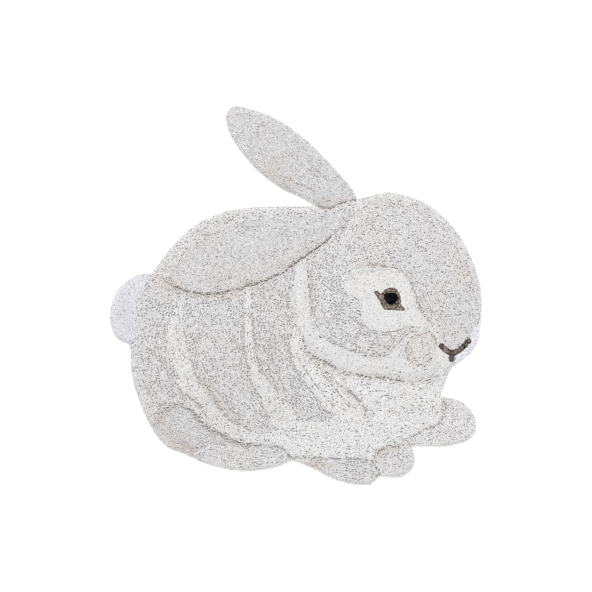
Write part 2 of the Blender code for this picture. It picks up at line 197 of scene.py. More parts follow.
# The fields of the pattern, each over the ones before it: the yarn, the cut, the tone, and the edge as a
# closed smooth line in squares. Where an edge leaves the rug, the rug's own outline ends the field. A band
# has the half width as a third number at each point of its middle line.
WHOLE_RUG = [(-25, -25), (25, -25), (25, 25), (-25, 25)]
FIELDS = {
    "back": ("grey cotton", "coarse", 0.815, WHOLE_RUG),
    "haunch stripe": ("natural cotton", "medium", 0.736, [
        (-11.25, -0.15, 0.2), (-11.75, -1.5, 0.5), (-12.05, -3.25, 0.75), (-11.85, -5.05, 0.95),
        (-11.35, -6.85, 1.0), (-10.65, -8.65, 1.0), (-9.55, -10.45, 0.9), (-8.35, -11.85, 0.75),
        (-6.95, -13.05, 0.7), (-5.25, -13.9, 0.65), (-3.35, -14.25, 0.6), (-1.85, -14.15, 0.7),
    ]),
    "rib stripe": ("natural cotton", "medium", 0.741, [
        (-4.75, 0.95, 0.25), (-4.75, -0.75, 0.3), (-4.75, -2.75, 0.35), (-4.65, -4.75, 0.45),
        (-4.35, -6.45, 0.5), (-3.85, -8.05, 0.7), (-3.05, -9.45, 0.9), (-2.05, -10.85, 1.1),
        (-1.15, -12.1, 1.2),
    ]),
    "head": ("grey cotton", "brushed", 0.815, [
        (3.45, 9.25), (4.95, 7.35), (4.35, 5.75), (3.55, 4.05), (4.25, 2.55), (4.95, 1.25), (10.45, -3.25),
        (14.15, -4.75), (15.65, -5.25), (17.45, -4.75), (20.45, -3.25), (20.45, 4.75), (17.45, 10.75),
        (10.45, 11.75), (6.15, 10.75),
    ]),
    "cheek": ("grey cotton", "coarse", 0.828, [
        (1.05, 4.05), (2.45, 5.05), (3.75, 6.15), (4.25, 5.45), (3.75, 3.95), (4.45, 1.75), (5.45, 0.55),
        (6.35, -0.25), (6.65, -2.25), (7.65, -3.25), (8.95, -3.55), (10.25, -3.35), (11.25, -2.95),
        (11.65, -3.25), (10.75, -4.25), (9.95, -5.25), (8.95, -5.95), (7.45, -5.85), (5.45, -5.25),
        (3.45, -4.45), (2.45, -3.75), (1.55, -2.45), (1.35, -1.25), (1.25, 0.25), (1.15, 1.75), (0.95, 3.25),
    ]),
    "chest": ("natural cotton", "medium", 0.779, [
        (2.25, -6.05), (3.45, -6.75), (4.45, -7.25), (5.95, -7.75), (7.45, -7.9), (8.95, -8.1), (10.45, -8.3),
        (11.75, -8.55), (13.45, -8.15), (15.15, -7.75), (15.25, -9.25), (14.55, -10.25), (14.45, -14.25),
        (10.45, -16.25), (7.45, -17.25), (3.45, -17.25), (-0.65, -17.05), (-1.95, -15.25), (-3.35, -14.85),
        (-3.35, -13.85), (-2.05, -13.35), (-1.15, -12.65), (0.05, -12.45), (1.55, -12.45), (2.95, -12.25),
        (3.95, -11.75), (3.25, -11.35), (2.35, -10.65), (1.55, -9.95), (0.95, -9.05), (0.35, -7.75),
        (-0.2, -6.25), (-0.45, -4.55), (-0.25, -3.35), (0.05, -2.45), (0.45, -3.25), (1.05, -4.65),
    ]),
    "ruff": ("natural cotton", "smooth", 0.714, [
        (0.25, 3.55), (0.95, 3.75), (1.1, 2.75), (1.2, 1.55), (1.3, 0.25), (1.4, -1.25), (1.65, -2.45),
        (2.45, -3.65), (3.65, -4.6), (5.45, -5.3), (7.25, -5.85), (8.75, -6), (9.85, -5.35), (10.65, -4.35),
        (11.55, -3.55), (12.85, -2.95), (14.05, -2.85), (14.65, -3.55), (14.55, -4.45), (15.15, -5.55),
        (15.65, -6.45), (15.95, -7.25), (15.05, -7.85), (13.45, -8.15), (11.75, -8.55), (10.45, -8.3),
        (8.95, -8.1), (7.45, -7.9), (5.95, -7.75), (4.45, -7.25), (3.45, -6.75), (2.25, -5.95), (1.35, -5.15),
        (0.75, -4.15), (0.25, -2.75), (-0.2, -1.35), (-0.55, -0.25), (-0.45, 0.75), (-0.15, 1.75),
        (0.05, 2.75),
    ]),
    "mask": ("natural cotton", "smooth", 0.729, [
        (4.45, 1.55), (5.15, 2.35), (6.25, 2.8), (7.65, 2.9), (9.05, 2.95), (10.35, 2.75), (11.05, 2.25),
        (11.55, 1.35), (11.85, 0.35), (12.35, -0.85), (13.25, -1.95), (14.25, -2.85), (13.45, -3.35),
        (12.45, -3.05), (11.45, -2.85), (10.25, -3.25), (8.95, -3.45), (7.75, -3.25), (6.85, -2.55),
        (6.5, -1.45), (6.35, -0.35), (5.65, 0.25), (4.85, 0.75),
    ]),
    "tail": ("lavender white cotton", "smooth", 0.671, [
        (-14.35, 2.55), (-14.95, 1.45), (-15.75, -0.05), (-16.05, -1.65), (-16.15, -3.25), (-16.45, -4.65),
        (-18.55, -5.45), (-20.05, -2.25), (-19.05, 1.25), (-16.55, 3.55),
    ]),
    "nose tip": ("lavender white cotton", "smooth", 0.766, [
        (19.05, -2.05), (18.15, -2.85), (17.55, -3.65), (17.65, -4.35), (17.15, -4.95), (16.55, -5.45),
        (16.1, -5.85), (15.95, -6.45), (15.65, -7.45), (16.95, -7.05), (18.45, -5.25), (19.45, -3.75),
    ]),
    "knee": ("grey cotton", "short", 0.812, [
        (-13.6, -11.4), (-13.05, -11.05), (-12.05, -10.85), (-11.15, -10.95), (-10.45, -11.35),
        (-9.85, -12.15), (-9.05, -12.95), (-7.95, -13.45), (-6.75, -14.05), (-5.55, -14.55), (-4.05, -14.8),
        (-5.75, -14.95), (-7.35, -14.9), (-8.75, -14.85), (-9.55, -15.05), (-10.15, -15.85), (-11.55, -17.25),
        (-14.55, -15.25), (-14.75, -12.75),
    ]),
    "hind foot": ("grey cotton", "brushed", 0.848, [
        (-1.65, -14.85), (-1.15, -15.2), (-0.8, -15.75), (-0.55, -16.55), (-1.55, -18.25), (-5.55, -18.75),
        (-10.55, -17.25), (-9.95, -15.55), (-9.35, -15.05), (-8.35, -14.85), (-6.05, -14.95), (-3.55, -14.95),
    ]),
    "near paw": ("grey cotton", "coarse", 0.854, [
        (-0.65, -15.95), (0.45, -15.95), (1.95, -16.05), (3.45, -16), (4.95, -16.15), (6.45, -16.15),
        (7.45, -16.3), (7.95, -16.65), (8.3, -17.25), (8.55, -18.05), (8.45, -19.75), (2.45, -19.25),
        (-1.05, -17.05),
    ]),
    "middle paw": ("grey cotton", "brushed", 0.881, [
        (7.95, -16), (8.25, -15.6), (8.85, -15.25), (9.55, -14.9), (10.25, -14.9), (10.95, -14.65),
        (12.25, -14.75), (12.95, -17.25), (10.95, -19.05), (8.45, -18.45), (8.35, -17.45), (8.05, -16.75),
    ]),
    "far paw": ("grey cotton", "short", 0.935, [
        (10.45, -14.35), (11.65, -13.95), (12.25, -13.5), (12.95, -13.3), (13.65, -13), (14.25, -12.65),
        (14.75, -11.95), (15.1, -11.25), (15.05, -10.35), (14.55, -9.65), (17.45, -9.25), (19.95, -12.25),
        (18.45, -16.25), (13.45, -16.25), (10.95, -15.25),
    ]),
    "muzzle spot": ("beige cotton", "brushed", 0.811, [
        (13.45, -3.35), (12.65, -3.5), (11.75, -3.85), (11.15, -4.55), (10.95, -5.45), (11.25, -6.35),
        (12.05, -6.95), (12.85, -6.9), (13.55, -6.35), (13.95, -5.45), (14.15, -4.55), (13.9, -3.75),
    ]),
    "iris": ("brown cotton", "finest", 0.845, [
        (7.9, 0.6), (8.25, 0.6), (8.55, 0.42), (8.95, 0.74), (9.55, 0.95), (10.15, 0.8), (10.44, 0.3),
        (10.54, -0.35), (10.6, -0.8), (10.88, -1.08), (10.84, -1.36), (10.35, -1.31), (9.65, -1.27),
        (8.95, -1.22), (8.55, -0.75), (8.35, -0.25), (8.05, 0.2),
    ]),
    "pupil": ("black cotton", "finest", 1.0, [
        (8.87, -0.02), (9.05, 0.34), (9.55, 0.45), (10.08, 0.33), (10.26, 0.02), (10.04, -0.42),
        (9.67, -0.74), (9.17, -0.52),
    ]),
    "mouth line": ("dark brown cotton", "finest", 0.938, [
        (14.63, -4.89, 0.3), (14.95, -5.2, 0.28), (15.31, -5.48, 0.27), (15.76, -5.55, 0.27),
        (16.16, -5.4, 0.27), (16.61, -5.12, 0.27), (16.97, -4.73, 0.26), (17.29, -4.37, 0.25),
    ]),
    "lip line": ("dark brown cotton", "finest", 0.86, [
        (15.62, -5.6, 0.24), (15.6, -5.9, 0.22), (15.6, -6.2, 0.27),
    ]),
    "raised ear": ("grey cotton", "fine", 0.736, [
        (2.3, 8.95), (2.75, 8.88), (3.35, 8.85), (4.15, 9.18), (4.95, 9.52), (5.55, 9.63), (6.25, 9.85),
        (6.05, 11.75), (1.45, 17.25), (-4.55, 20.25), (-8.55, 19.75), (-7.05, 14.75), (-3.55, 10.75),
    ]),
    "resting ear": ("grey cotton", "fine", 0.778, [
        (4.95, 7.35), (4.15, 6.75), (3.25, 5.9), (2.55, 5.25), (1.85, 4.7), (0.95, 4.15), (0.15, 3.55),
        (-0.55, 3.15), (-1.25, 2.55), (-2.35, 2), (-3.35, 1.65), (-4.35, 1.4), (-5.55, 0.9), (-6.55, 0.7),
        (-7.55, 0.5), (-8.55, 0.38), (-9.55, 0.4), (-10.55, 0.6), (-11.35, 0.85), (-12.25, 1.35),
        (-12.55, 2.1), (-12.35, 2.95), (-11.75, 3.75), (-11.15, 4.35), (-10.35, 4.95), (-9.35, 5.6),
        (-8.25, 6.15), (-7.15, 6.85), (-5.55, 7.5), (-3.95, 7.85), (-2.05, 8.15), (0.05, 8.4), (1.95, 8.55),
        (3.45, 8.4), (4.45, 8.05),
    ]),
}

# Creases and shaded edges of the pile, where the tufts are cut lower and coloured with painted shade: the
# half width in squares, the strength of the painted warm shade beside it, and the line with its depth at each
# point, where 1 is deep
CREASES = {
    "under the resting ear": (0.17, 0.5, [
        (-12.6, 2.2, 0.2), (-12.4, 1.46, 0.5), (-11.73, 0.9, 0.7), (-10.45, 0.5, 0.8), (-8.99, 0.33, 0.9),
        (-7.55, 0.42, 0.8), (-6.58, 0.72, 0.9), (-5.3, 0.98, 0.7), (-4.4, 1.4, 1.4), (-3.69, 1.5, 0.5),
        (-2.72, 1.87, 0.9), (-1.28, 2.55, 0.5), (-0.66, 3.05, 1.0), (0.12, 3.58, 1.1), (1.12, 4.25, 0.7),
        (2.01, 4.83, 0.9), (3.01, 5.6, 0.9), (3.3, 5.9, 0.4),
    ]),
    "above the resting ear": (0.12, 0.4, [
        (-12.3, 2.9, 0.2), (-11.15, 4.35, 0.3), (-9.35, 5.6, 0.25), (-7.15, 6.85, 0.15), (-5.55, 7.5, 0.1),
    ]),
    "right of the ruff": (0.16, 0.8, [
        (1.5, 2.95, 0.3), (1.6, 1.25, 0.5), (1.62, -0.27, 0.5), (1.7, -1.77, 0.3),
    ]),
    "left of the ruff": (0.14, 0.0, [
        (-0.44, 1.09, 0.5), (-0.86, -0.11, 0.6), (-0.59, -1.02, 0.5), (0.01, -1.77, 0.4), (0.16, -2.38, 0.3),
    ]),
    "jaw": (0.13, 0.1, [
        (2.42, -3.88, 0.4), (3.03, -4.19, 0.8), (3.93, -4.64, 0.8), (4.99, -5.09, 0.8), (6.04, -5.47, 0.3),
        (7.1, -5.77, 0.5), (8.61, -5.92, 0.4),
    ]),
    "under the ruff": (0.26, 0.9, [
        (0.01, -2.23, 0.1), (0.47, -3.73, 0.3), (0.92, -4.79, 0.35), (1.52, -5.69, 0.45), (2.43, -6.3, 0.65),
        (3.33, -6.7, 0.65), (4.39, -7.4, 0.4), (5.89, -7.75, 0.35), (7.1, -7.98, 0.4), (8.31, -8.05, 0.65),
        (9.51, -8.2, 0.4), (10.27, -8.25, 0.55), (11.02, -8.41, 0.4), (12.5, -8.5, 0.3), (13.9, -8.2, 0.2),
    ]),
    "neck fold": (0.17, 0.7, [
        (2.43, -7.05, 0.3), (3.48, -7.8, 0.5), (4.23, -8.71, 0.8), (5.14, -9.31, 0.8), (5.89, -9.91, 0.9),
        (6.5, -10.59, 1.0), (7.1, -11.27, 0.4),
    ]),
    "back of the neck": (0.14, 0.2, [
        (-0.74, -3.73, 0.48), (-0.6, -5.69, 0.8), (-0.14, -6.9, 1.12), (0.31, -7.7, 1.12),
        (0.92, -8.71, 1.12), (1.67, -9.61, 0.96), (2.43, -10.52, 0.8), (3.48, -11.72, 0.48),
    ]),
    "chest fold": (0.12, 0.1, [
        (0.45, -6.4, 0.45), (1.1, -7.4, 0.9), (1.9, -8.6, 0.9), (2.9, -9.9, 0.75), (3.9, -11.0, 0.45),
    ]),
    "shoulder fold": (0.12, 0.2, [
        (-2.68, -3.25, 0.4), (-2.45, -5.35, 0.7), (-1.88, -7.25, 0.7), (-1.35, -8.55, 0.6),
        (-0.4, -10.2, 0.4),
    ]),
    "middle neck fold": (0.11, 0.3, [
        (1.0, -5.5, 0.48), (2.25, -7.05, 0.96), (3.6, -8.75, 0.96), (4.95, -10.25, 0.8), (5.8, -11.1, 0.48),
    ]),
    "below the mask": (0.14, 0.0, [
        (3.33, -2.53, 0.3), (4.08, -1.92, 0.5), (5.29, -1.92, 0.7), (5.89, -2.23, 0.9), (6.5, -2.68, 0.9),
        (7.1, -3.13, 0.7), (8.0, -3.51, 0.4),
    ]),
    "beside the mask": (0.12, 0.6, [
        (10.4, 2.9, 0.3), (11.29, 1.95, 0.6), (11.75, 0.85, 0.6), (12.1, -0.18, 0.8), (12.6, -1.33, 0.8),
        (13.16, -2.1, 0.6), (13.9, -2.8, 0.2),
    ]),
    "above the mask": (0.14, 0.8, [
        (6.6, 3.25, 0.2), (7.4, 3.35, 0.5), (8.3, 3.25, 0.6), (9.3, 3.05, 0.4), (10.2, 2.9, 0.4),
    ]),
    "top of the knee": (0.16, 0.3, [
        (-13.5, -11.72, 0.1), (-13.17, -11.2, 0.2), (-12.21, -10.84, 0.3), (-11.08, -10.98, 0.4),
        (-10.28, -11.5, 0.6), (-9.8, -12.14, 0.6), (-9.0, -12.9, 0.7), (-8.2, -13.35, 0.45),
        (-7.0, -13.95, 0.4), (-5.6, -14.5, 0.4), (-4.1, -14.8, 0.35), (-2.6, -14.85, 0.15),
    ]),
    "left of the haunch stripe": (0.16, 0.3, [
        (-14.0, -2.6, 0.26), (-13.9, -4.2, 0.52), (-13.66, -5.77, 0.65), (-13.09, -6.41, 1.04),
        (-12.53, -7.05, 1.04), (-11.89, -7.86, 0.78), (-11.57, -9.31, 0.52), (-10.76, -9.95, 0.91),
        (-9.8, -10.59, 1.04), (-9.32, -11.24, 0.91), (-8.8, -12.0, 0.65),
    ]),
    "right of the haunch stripe": (0.14, 0.4, [
        (-10.9, -4.2, 0.27), (-10.5, -6.0, 0.41), (-10.12, -7.22, 0.68), (-9.64, -8.34, 0.81),
        (-8.99, -8.95, 1.08), (-8.19, -9.83, 1.2), (-7.71, -10.63, 0.94), (-6.9, -11.9, 0.54),
        (-5.6, -12.8, 0.41),
    ]),
    "left of the rib stripe": (0.14, 0.3, [
        (-5.2, -1.2, 0.26), (-5.3, -3.68, 1.04), (-5.22, -4.75, 1.04), (-4.97, -6.09, 0.91),
        (-4.68, -7.22, 0.91), (-4.49, -8.5, 0.91), (-3.85, -9.63, 0.91), (-3.3, -10.92, 0.65),
        (-2.6, -12.04, 0.65),
    ]),
    "right of the rib stripe": (0.14, 0.5, [
        (-4.3, -0.6, 0.26), (-4.35, -1.75, 0.52), (-4.15, -3.68, 0.65), (-3.85, -5.93, 0.91),
        (-3.3, -7.5, 1.17), (-2.56, -8.5, 0.65), (-1.5, -10.0, 0.39),
    ]),
    "end of the hind foot": (0.14, 0.1, [
        (-2.15, -14.9, 0.5), (-1.39, -15.05, 0.8), (-0.85, -15.6, 0.9), (-0.62, -16.4, 0.8),
    ]),
    "top of the near paw": (0.14, 0.1, [
        (-0.3, -16.0, 0.3), (1.6, -16.05, 0.3), (2.8, -16.1, 0.7), (4.3, -16.2, 0.8), (5.9, -16.2, 0.8),
        (7.1, -16.35, 0.9), (7.75, -16.7, 0.9), (8.15, -17.3, 0.8), (8.35, -18.1, 0.5),
    ]),
    "top of the middle paw": (0.2, 1.0, [
        (7.95, -16.3, 0.5), (8.1, -15.65, 0.7), (8.8, -15.15, 0.7), (9.75, -14.95, 0.6), (10.9, -14.7, 0.4),
        (12.0, -14.75, 0.2),
    ]),
    "top of the far paw": (0.14, 0.4, [
        (10.45, -14.35, 0.2), (11.65, -13.95, 0.4), (12.95, -13.3, 0.7), (13.9, -12.9, 0.8),
        (14.6, -12.2, 0.6), (15.0, -11.4, 0.6), (15.0, -10.5, 0.4), (14.6, -9.8, 0.3),
    ]),
    "base of the raised ear": (0.15, 0.6, [
        (2.5, 9.1, 0.4), (3.35, 8.9, 0.7), (4.2, 9.25, 0.6), (5.0, 9.55, 0.8), (5.6, 9.68, 0.8),
        (6.1, 9.8, 0.5),
    ]),
    "chest tuft": (0.14, 0.2, [
        (8.9, -11.1, 0.5), (9.5, -11.45, 0.9), (10.1, -11.6, 0.7), (10.8, -11.6, 0.2),
    ]),
    "round the muzzle spot": (0.12, 0.5, [
        (12.3, -3.7, 0.2), (11.6, -4.0, 0.3), (11.2, -4.7, 0.45), (11.05, -5.5, 0.45), (11.35, -6.3, 0.45),
        (12.05, -6.85, 0.3), (12.85, -6.85, 0.15),
    ]),
    "ear wrinkle, low": (0.13, 0.1, [
        (-0.5, 11.9, 0.6), (0.1, 11.5, 0.9), (0.8, 11.2, 0.6), (1.8, 10.6, 0.7),
    ]),
    "ear wrinkle, high": (0.13, 0.1, [
        (1.4, 13.4, 0.4), (1.9, 13.0, 0.7), (2.4, 12.5, 0.8), (3.0, 11.9, 0.6),
    ]),
    "ear wrinkle, middle": (0.12, 0.0, [(1.2, 12.9, 0.3), (1.8, 12.4, 0.6), (2.3, 11.9, 0.6)]),
    "crown mark": (0.14, 0.0, [(5.1, 8.35, 0.8), (5.05, 7.95, 1.4), (5.1, 7.55, 1.0)]),
    "rib notch": (0.14, 0.3, [(-2.7, -7.2, 0.7), (-2.5, -7.6, 1.4), (-2.1, -8.3, 0.7)]),
}

# Patches where the yarn is coloured warmer and a little darker or paler: most lie by the creases and shaded
# edges and are painted warm shade, the others are the yarn's own tints, as on the tail. Each has the middle,
# the reach along X and along Y, the turn in degrees, the warmth that it adds and its tone
PATCHES_OF_WARM_SHADE_AND_TINT = [
    (-12.9, 1.3, 1.5, 0.9, -35, 0.55, 0.98), (-7.2, 0.1, 1.6, 0.5, 5, 0.5, 0.98),
    (-4.0, 0.7, 0.9, 0.8, 0, 0.35, 0.98), (-6.3, 2.1, 2.2, 0.9, 15, 0.35, 1.0),
    (-9.8, 5.5, 2.6, 1.0, 40, 0.22, 1.0), (-1.3, 11.8, 1.9, 0.8, -40, 0.5, 0.99),
    (3.2, 9.5, 0.9, 0.6, 20, 0.6, 0.98), (-11.3, -14.9, 1.5, 0.7, -30, 0.8, 0.98),
    (-13.7, -12.6, 0.5, 0.5, 0, 0.5, 1.0), (2.1, -16.6, 1.3, 0.6, -20, 0.8, 0.98),
    (-7.9, -10.3, 1.3, 2.2, 25, 0.3, 0.99), (2.6, -7.0, 1.8, 0.6, -35, 0.4, 0.97),
    (17.0, 1.8, 0.8, 2.0, 15, 0.35, 1.0), (8.3, 3.6, 1.5, 0.5, 0, 0.3, 1.0),
    (11.8, -0.8, 0.6, 1.4, 25, 0.25, 1.0), (-17.1, -1.2, 0.8, 2.2, 10, 0.5, 0.97),
    (-14.9, -1.8, 1.1, 2.8, 8, -0.35, 1.01), (-5.4, -12.6, 1.6, 0.7, -25, 0.3, 0.99),
]

# Where the pile is combed and has parted less: the middle, the reach along X and along Y, the turn in
# degrees, and the share of the parted places that have closed again
COMBED = [
    (-12.0, 3.8, 2.6, 1.0, 48, 0.9), (-8.2, 6.6, 2.6, 1.0, 28, 0.9), (-3.6, 7.7, 2.6, 0.9, 8, 0.6),
    (14.9, -13.6, 2.6, 2.2, 10, 0.3),
]


class Socket:
    """A node socket of one material. Sums on it are Python expressions, which add their Math nodes."""

    def __init__(self, finish, link):
        self.finish = finish
        self.link = link

    def maths(self, operation, *values):
        return self.finish.node("ShaderNodeMath", {"operation": operation}, dict(enumerate(values)))

    def __add__(self, other):
        return self.maths("ADD", self, other)

    def __mul__(self, other):
        return self.maths("MULTIPLY", self, other)

    __radd__ = __add__
    __rmul__ = __mul__


class Finish:
    """One material, with its Principled shader."""

    def __init__(self, name, **sockets):
        self.material = bpy.data.materials.new(name)
        self.material.use_nodes = True
        self.tree = self.material.node_tree
        self.shader = self.tree.nodes["Principled BSDF"]
        for socket, value in sockets.items():
            self.shader.inputs[socket.replace("_", " ").title()].default_value = value

    def node(self, kind, settings=(), sockets=(), output=0):
        """Adds a node: its settings are set first, then its sockets get their values or links."""
        node = self.tree.nodes.new(kind)
        for setting, value in dict(settings).items():
            setattr(node, setting, value)
        for socket, value in dict(sockets).items():
            self.feed(node.inputs[socket], value)
        return Socket(self, node.outputs[output])

    def feed(self, target, value):
        if isinstance(value, Socket):
            self.tree.links.new(value.link, target)
        else:
            target.default_value = value

    def mixed(self, share, colour, other):
        """One colour turned into another by a share from 0 to 1."""
        settings = {"data_type": "RGBA", "blend_type": "MIX"}
        return self.node("ShaderNodeMix", settings, {0: share, 6: colour, 7: other}, output=2)

    def scaled(self, colour, share):
        """A colour made darker or lighter."""
        return self.node("ShaderNodeVectorMath", {"operation": "SCALE"}, {0: colour, "Scale": share})

    def place(self):
        return self.node("ShaderNodeTexCoord", output=3)

    def attribute(self, name):
        return self.node("ShaderNodeAttribute", {"attribute_name": name}, output=2)

    def speckle(self, size, detail=2.0):
        """Noise of a given size in metres, from 0 to 1."""
        sockets = {"Vector": self.place(), "Scale": 1 / size, "Detail": detail, "Roughness": 0.6}
        return self.node("ShaderNodeTexNoise", {}, sockets)

    def bump(self, height, distance, strength=1.0):
        sockets = {"Height": height, "Distance": distance, "Strength": strength}
        self.feed(self.shader.inputs["Normal"], self.node("ShaderNodeBump", {}, sockets))


def opaque(colour):
    return (*colour, 1.0)


def cotton_pile(yarn):
    """Cut cotton yarn: each tuft's tone, painted shade at its root and in specks, and fine fibres over its
    tip.
    """
    colour, warm = YARNS[yarn]
    is_black = "black" in yarn
    sheen = 0.0 if is_black else 0.1
    finish = Finish(yarn.replace(" ", "_"), roughness=0.95, sheen_weight=sheen, sheen_roughness=0.6)
    finish.shader.inputs["Specular IOR Level"].default_value = 0.0 if is_black else 0.15
    fibres = finish.speckle(0.0011, 3.0)
    # Partly the yarn's grain and partly painted shade: dark specks that stand for the gaps between yarn ends
    ply_grain_and_gap_shade = finish.speckle(0.0023, 2.0)
    # Painted shade: each tuft's colour darkens towards its root
    painted_root_shade = 0.70 + 0.30 * finish.attribute("tip")
    fibres_and_gap_shade = 0.64 + 0.20 * fibres + 0.52 * ply_grain_and_gap_shade
    # The warm colour mixes in for the yarn's own warmth and for painted warm shade
    base = finish.mixed(finish.attribute("warmth"), opaque(colour), opaque(warm))
    lit = finish.attribute("tone") * painted_root_shade * fibres_and_gap_shade
    finish.feed(finish.shader.inputs["Base Color"], finish.scaled(base, lit))
    finish.bump(fibres, 0.0007, 0.7)
    return finish.material


def shaded_pile_roots():
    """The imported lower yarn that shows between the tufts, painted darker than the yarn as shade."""
    finish = Finish("shaded_pile_roots", roughness=1.0)
    strands = finish.speckle(0.0016, 3.0)
    base = finish.mixed(strands, (0.50, 0.49, 0.475, 1.0), (0.62, 0.61, 0.60, 1.0))
    finish.feed(finish.shader.inputs["Base Color"], base)
    finish.bump(strands, 0.0012)
    return finish.material


def backing_canvas():
    """Plain woven cotton canvas, as the underside shows it."""
    finish = Finish("backing_canvas", roughness=0.9)
    thread = 0.0018
    ridges = []
    for direction in ("X", "Y"):
        settings = {"wave_type": "BANDS", "bands_direction": direction}
        sockets = {"Vector": finish.place(), "Scale": 0.314 / thread, "Distortion": 0.6, "Detail": 1.0}
        ridges.append(finish.node("ShaderNodeTexWave", settings, sockets, output=1))
    weave = ridges[0].maths("MAXIMUM", *ridges)
    slubs = finish.speckle(0.012)
    shade = finish.mixed(weave * 0.6 + slubs * 0.4, (0.40, 0.375, 0.34, 1.0), (0.66, 0.64, 0.60, 1.0))
    finish.feed(finish.shader.inputs["Base Color"], shade)
    finish.bump(weave, 0.0004)
    return finish.material


def on_the_rug(x, y):
    """The place in metres of a point on the pattern's squares."""
    return (x - MIDDLE_X) * SQUARE, (y - MIDDLE_Y) * SQUARE


def smooth_line(points, closed=False):
    """The fine points, in metres, of a smooth line through given points of the pattern."""
    knots = [Vector((*on_the_rug(x, y), 0.0)) for x, y in points]
    count = len(knots)

    def tangent(index):
        if closed:
            return (knots[(index + 1) % count] - knots[index - 1]).normalized()
        before, after = max(index - 1, 0), min(index + 1, count - 1)
        return (knots[after] - knots[before]).normalized()

    line = []
    for index in range(count if closed else count - 1):
        start, end = knots[index], knots[(index + 1) % count]
        reach = (end - start).length / 3
        handle = start + tangent(index) * reach
        other_handle = end - tangent((index + 1) % count) * reach
        steps = max(2, math.ceil(3 * reach / 0.003))
        line += interpolate_bezier(start, handle, other_handle, end, steps + 1)[:-1]
    if not closed:
        line.append(knots[-1])
    return np.array([(p.x, p.y) for p in line])


def distance_along(places, line):
    """How far each place is from a line, and where along it its nearest point lies, from 0 to 1."""
    run = line[1:] - line[:-1]
    nearest = np.full(len(places), np.inf)
    where = np.zeros(len(places))
    for index, (start, vector) in enumerate(zip(line, run)):
        offset = places - start
        share = np.clip(offset @ vector / (vector @ vector), 0.0, 1.0)
        gap = np.linalg.norm(offset - share[:, None] * vector, axis=1)
        closer = gap < nearest
        nearest[closer] = gap[closer]
        where[closer] = (index + share[closer]) / len(run)
    return nearest, where


def numbered_line(points):
    """A smooth line through points, where along it each of them lies, and the third number of each."""
    line = smooth_line([(x, y) for x, y, _ in points])
    stops = distance_along(np.array([on_the_rug(x, y) for x, y, _ in points]), line)[1]
    return line, stops, np.array([number for _, _, number in points])


def is_inside(places, loop):
    """Whether each place lies inside a closed loop."""
    inside = np.zeros(len(places), bool)
    for (x, y), (next_x, next_y) in zip(loop, np.roll(loop, -1, axis=0)):
        crosses = (places[:, 1] < y) != (places[:, 1] < next_y)
        if crosses.any():
            edge_x = x + (places[:, 1] - y) * (next_x - x) / (next_y - y)
            inside ^= crosses & (places[:, 0] < edge_x)
    return inside


class Grid:
    """A fine grid of cells over the rug, with a value in each."""

    x = np.arange(RUG_LOW.x - GRID_MARGIN * CELL, RUG_HIGH.x + GRID_MARGIN * CELL, CELL)
    y = np.arange(RUG_LOW.y - GRID_MARGIN * CELL, RUG_HIGH.y + GRID_MARGIN * CELL, CELL)

    @classmethod
    def cells(cls, places):
        """The row and column of the cell at each place."""
        columns = np.clip(np.rint((places[:, 0] - cls.x[0]) / CELL).astype(int), 0, len(cls.x) - 1)
        rows = np.clip(np.rint((places[:, 1] - cls.y[0]) / CELL).astype(int), 0, len(cls.y) - 1)
        return rows, columns

    @classmethod
    def window(cls, line, margin):
        """The part of the grid round a line, and the places of its cells."""
        low, high = line.min(axis=0) - margin, line.max(axis=0) + margin
        columns = np.flatnonzero((cls.x >= low[0]) & (cls.x <= high[0]))
        rows = np.flatnonzero((cls.y >= low[1]) & (cls.y <= high[1]))
        part = (slice(rows[0], rows[-1] + 1), slice(columns[0], columns[-1] + 1))
        across, up = np.meshgrid(cls.x[part[1]], cls.y[part[0]])
        return part, np.column_stack([across.ravel(), up.ravel()])


def cut_heights():
    """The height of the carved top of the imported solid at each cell, and 0 off the rug."""
    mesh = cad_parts["rabbit_rug"].data
    tree = BVHTree.FromPolygons([v.co for v in mesh.vertices], [p.vertices for p in mesh.polygons])
    above, down = RUG_HIGH.z + 0.01, Vector((0.0, 0.0, -1.0))
    heights = np.zeros((len(Grid.y), len(Grid.x)))
    for row, y in enumerate(Grid.y):
        for column, x in enumerate(Grid.x):
            spot = tree.ray_cast(Vector((x, y, above)), down)[0]
            if spot:
                heights[row, column] = spot.z
    return heights


def laid_out_fields(on_rug):
    """The number of the field at each cell, counted from 1, and 0 off the rug."""
    numbers = np.zeros(on_rug.shape, int)
    for number, (_, _, _, edge) in enumerate(FIELDS.values(), 1):
        if len(edge[0]) == 3:
            line, stops, widths = numbered_line(edge)
            part, places = Grid.window(line, max(widths) * SQUARE)
            gap, where = distance_along(places, line)
            inside = gap < np.interp(where, stops, widths * SQUARE)
        else:
            line = smooth_line(edge, closed=True)
            part, places = Grid.window(line, 0.0)
            inside = is_inside(places, line)
        numbers[part][inside.reshape(numbers[part].shape)] = number
    return np.where(on_rug, numbers, 0)


def widest(heights, reach):
    """The greatest height within a reach in cells, along both ways of the grid."""
    greatest = heights.copy()
    for axis in (0, 1):
        source = greatest.copy()
        for step in range(1, reach + 1):
            for way in (step, -step):
                greatest = np.maximum(greatest, np.roll(source, way, axis))
    return greatest


